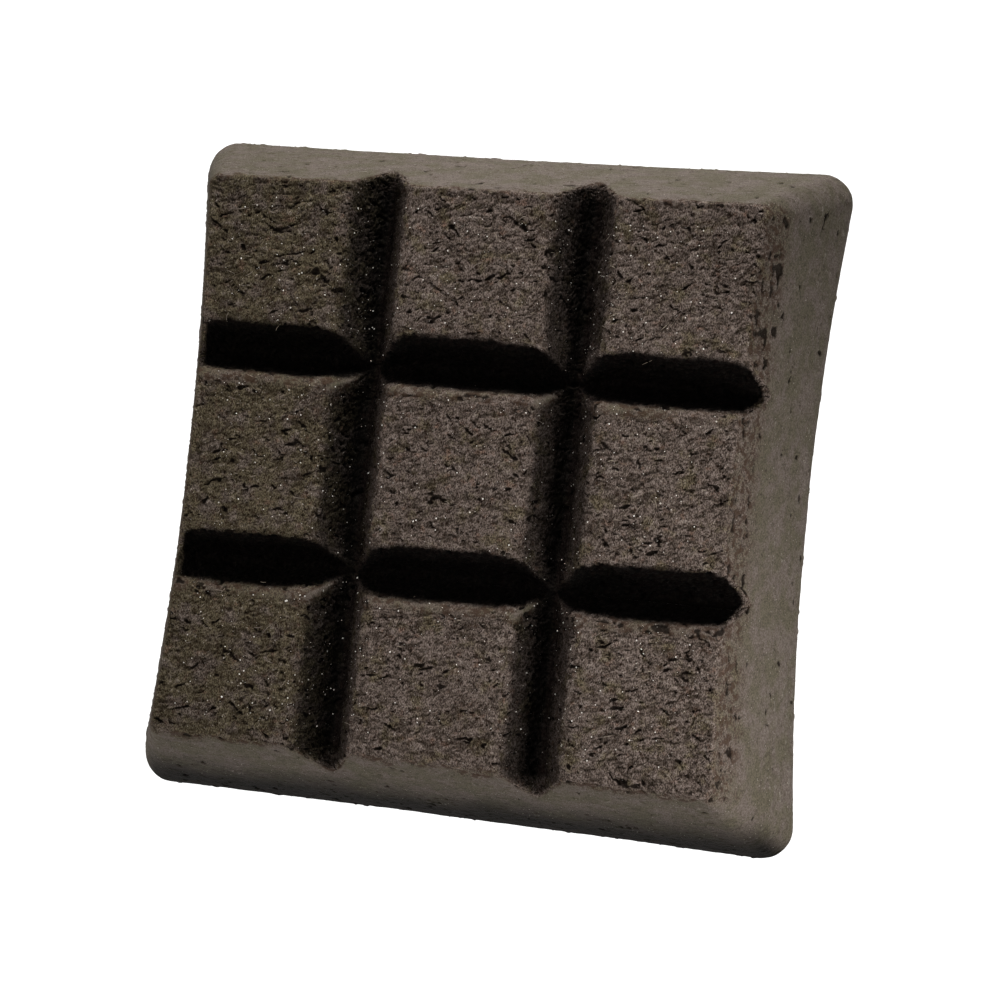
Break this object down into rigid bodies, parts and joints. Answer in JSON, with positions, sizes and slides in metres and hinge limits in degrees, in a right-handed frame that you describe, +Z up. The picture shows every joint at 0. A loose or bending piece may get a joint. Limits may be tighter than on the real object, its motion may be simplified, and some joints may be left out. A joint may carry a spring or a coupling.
{
  "type": "scored charcoal block",
  "caption": "Square block pressed from coarse fibrous charcoal powder, with sloping sides and a face scored by V-grooves so it snaps into segments.",
  "frame": {"origin": "middle of the flat underside", "axes": "+Z up, out of the scored face; +X to the right and +Y to the rear when the block is seen from above with its front edge nearest"},
  "size_m": [0.05, 0.05, 0.0128],
  "materials": {
    "pressed_charcoal": "dull, coarse and pitted, with short pale fibres and small crystal specks"
  },
  "bodies": {
    "front_left": {"segment_front_left": "pressed_charcoal"},
    "front_centre": {"segment_front_centre": "pressed_charcoal"},
    "front_right": {"segment_front_right": "pressed_charcoal"},
    "middle_left": {"segment_middle_left": "pressed_charcoal"},
    "middle_centre": {"segment_middle_centre": "pressed_charcoal"},
    "middle_right": {"segment_middle_right": "pressed_charcoal"},
    "rear_left": {"segment_rear_left": "pressed_charcoal"},
    "rear_centre": {"segment_rear_centre": "pressed_charcoal"},
    "rear_right": {"segment_rear_right": "pressed_charcoal"}
  },
  "joints": [
    {"name": "middle_left_break", "type": "slide", "parent": "middle_centre", "child": "middle_left", "axis": [-1, 0, 0], "range_m": [0, 0.02]},
    {"name": "middle_right_break", "type": "slide", "parent": "middle_centre", "child": "middle_right", "axis": [1, 0, 0], "range_m": [0, 0.02]},
    {"name": "rear_left_break", "type": "slide", "parent": "middle_left", "child": "rear_left", "axis": [0, 1, 0], "range_m": [0, 0.02]},
    {"name": "front_left_break", "type": "slide", "parent": "middle_left", "child": "front_left", "axis": [0, -1, 0], "range_m": [0, 0.02]},
    {"name": "rear_centre_break", "type": "slide", "parent": "middle_centre", "child": "rear_centre", "axis": [0, 1, 0], "range_m": [0, 0.02]},
    {"name": "front_centre_break", "type": "slide", "parent": "middle_centre", "child": "front_centre", "axis": [0, -1, 0], "range_m": [0, 0.02]},
    {"name": "rear_right_break", "type": "slide", "parent": "middle_right", "child": "rear_right", "axis": [0, 1, 0], "range_m": [0, 0.02]},
    {"name": "front_right_break", "type": "slide", "parent": "middle_right", "child": "front_right", "axis": [0, -1, 0], "range_m": [0, 0.02]}
  ]
}
